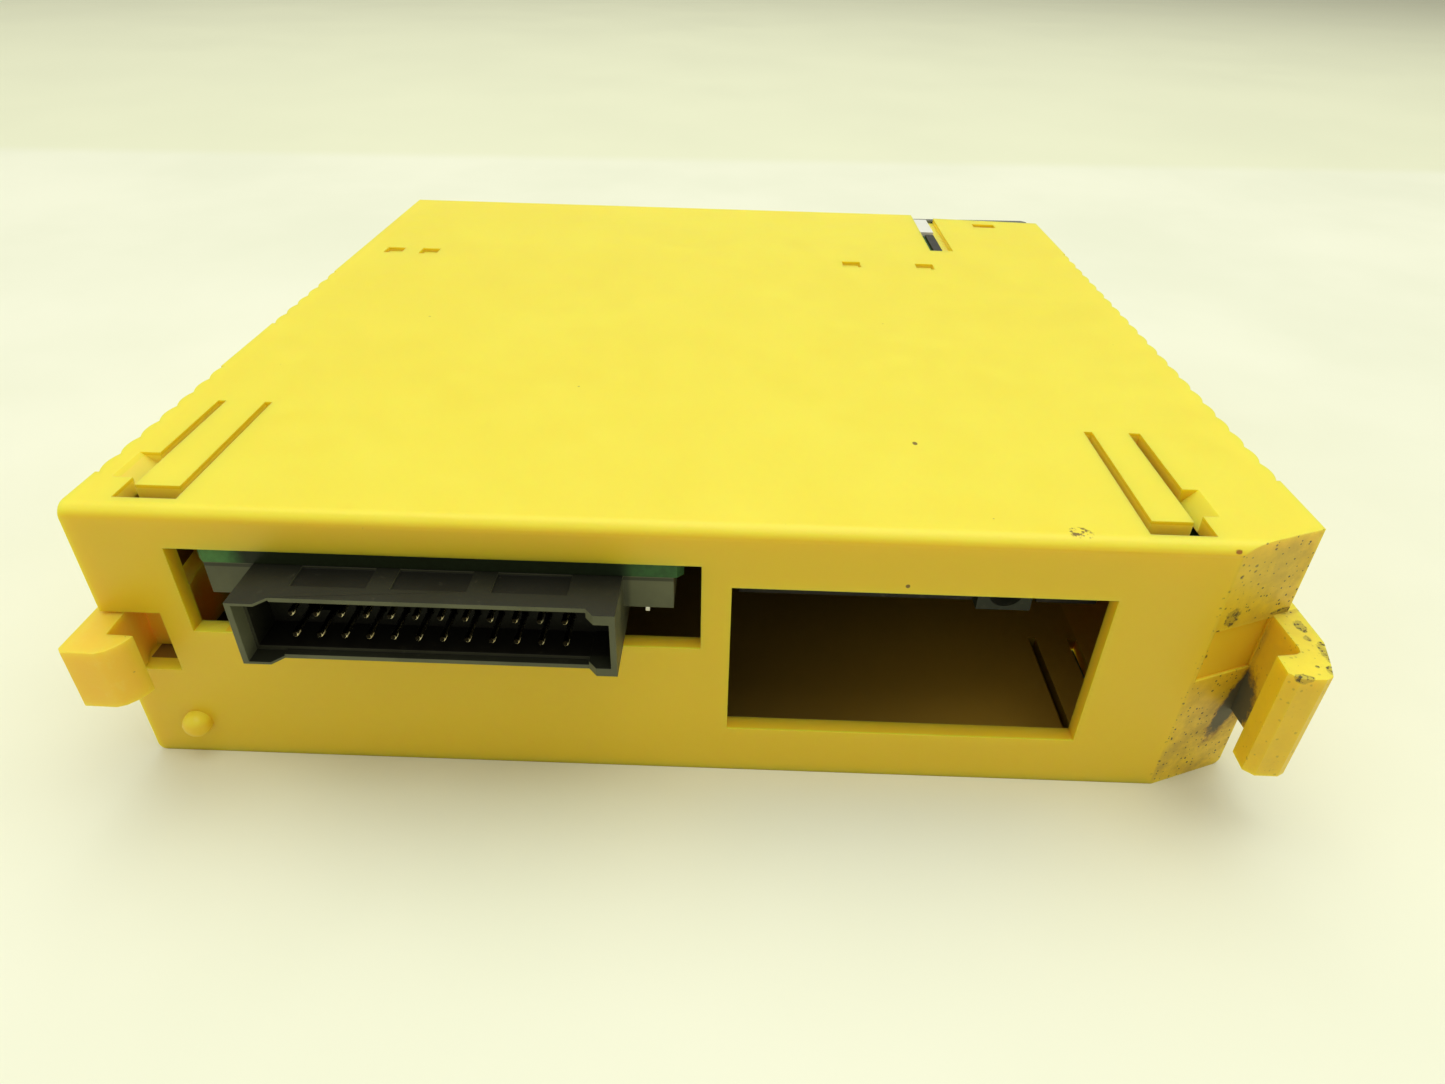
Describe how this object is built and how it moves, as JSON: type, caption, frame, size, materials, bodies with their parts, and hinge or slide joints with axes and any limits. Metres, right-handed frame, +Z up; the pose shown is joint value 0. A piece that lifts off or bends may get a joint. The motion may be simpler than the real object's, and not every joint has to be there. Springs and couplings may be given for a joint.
{
  "type": "plc module",
  "caption": "Rack-mounted programmable controller input/output module with a latch lever, a fixed hook, a rear bus connector and a pull-off terminal block behind a hinged cover.",
  "frame": {"origin": "centre of the large side of the case that the module lies on, in the plane of that side", "axes": "+Z up through the case's thickness, -Y out of the back face that meets the rack, +X along the case from the latch end to the hook end"},
  "size_m": [0.1323, 0.1317, 0.0346],
  "materials": {
    "housing": "fine moulded texture, satin",
    "frame": "fine moulded texture, satin",
    "lever": "smooth moulded, satin",
    "smoked_window": "smoked clear moulding",
    "light_pipe": "white translucent moulding",
    "lamp": "clear resin",
    "circuit_board": "green solder mask",
    "connector": "glass-filled moulding",
    "gold_contact": "gold plated",
    "plated_steel": "nickel plated",
    "steel": "bright drawn",
    "brass_insert": "turned",
    "chip": "moulded epoxy",
    "network": "dipped resin",
    "holder": "moulded, grey",
    "fuse": "white body, plated caps",
    "can": "sleeved can",
    "terminal_moulding": "glass-filled moulding",
    "clear_cover": "clear moulding",
    "card": "plain card"
  },
  "bodies": {
    "case": {"case_shell": "housing", "front_frame": "frame", "led_window": "smoked_window", "light_guide": "light_pipe", "status_leds": "lamp", "display_board": "circuit_board", "riser_board": "circuit_board", "display_connector": "connector", "main_board": "circuit_board", "board_screws": "plated_steel", "bus_connector": "connector", "bus_pins": "gold_contact", "board_locks": "plated_steel", "bus_controller": "chip", "bus_transceivers": "chip", "optocouplers": "chip", "output_drivers": "chip", "resistor_networks": "network", "fuse_holder": "holder", "fuse": "fuse", "capacitors": "can", "chip_resistors": "chip", "terminal_socket": "connector", "socket_contacts": "gold_contact", "threaded_inserts": "brass_insert", "latch_pin": "steel", "latch_spring": "steel"},
    "latch": {"latch_lever": "lever"},
    "terminals": {"terminal_block": "terminal_moulding", "terminal_blades": "gold_contact", "terminal_plates": "plated_steel", "terminal_screws": "plated_steel", "block_screws": "plated_steel"},
    "cover": {"terminal_cover": "clear_cover", "label_card": "card"}
  },
  "joints": [
    {"name": "latch_press", "type": "hinge", "parent": "case", "child": "latch", "pos_m": [-0.059, -0.04025, 0.0171], "axis": [0, 0, -1], "range_deg": [0, 7], "stiffness_Nm_per_rad": 0.08, "springref_deg": -17.19, "deforming": ["latch_spring"]},
    {"name": "terminal_block_pull", "type": "slide", "parent": "case", "child": "terminals", "axis": [0, 1, 0], "range_m": [0, 0.014]},
    {"name": "cover_swing", "type": "hinge", "parent": "terminals", "child": "cover", "pos_m": [0, 0.05905, 0.0292], "axis": [1, 0, 0], "range_deg": [0, 105]}
  ]
}
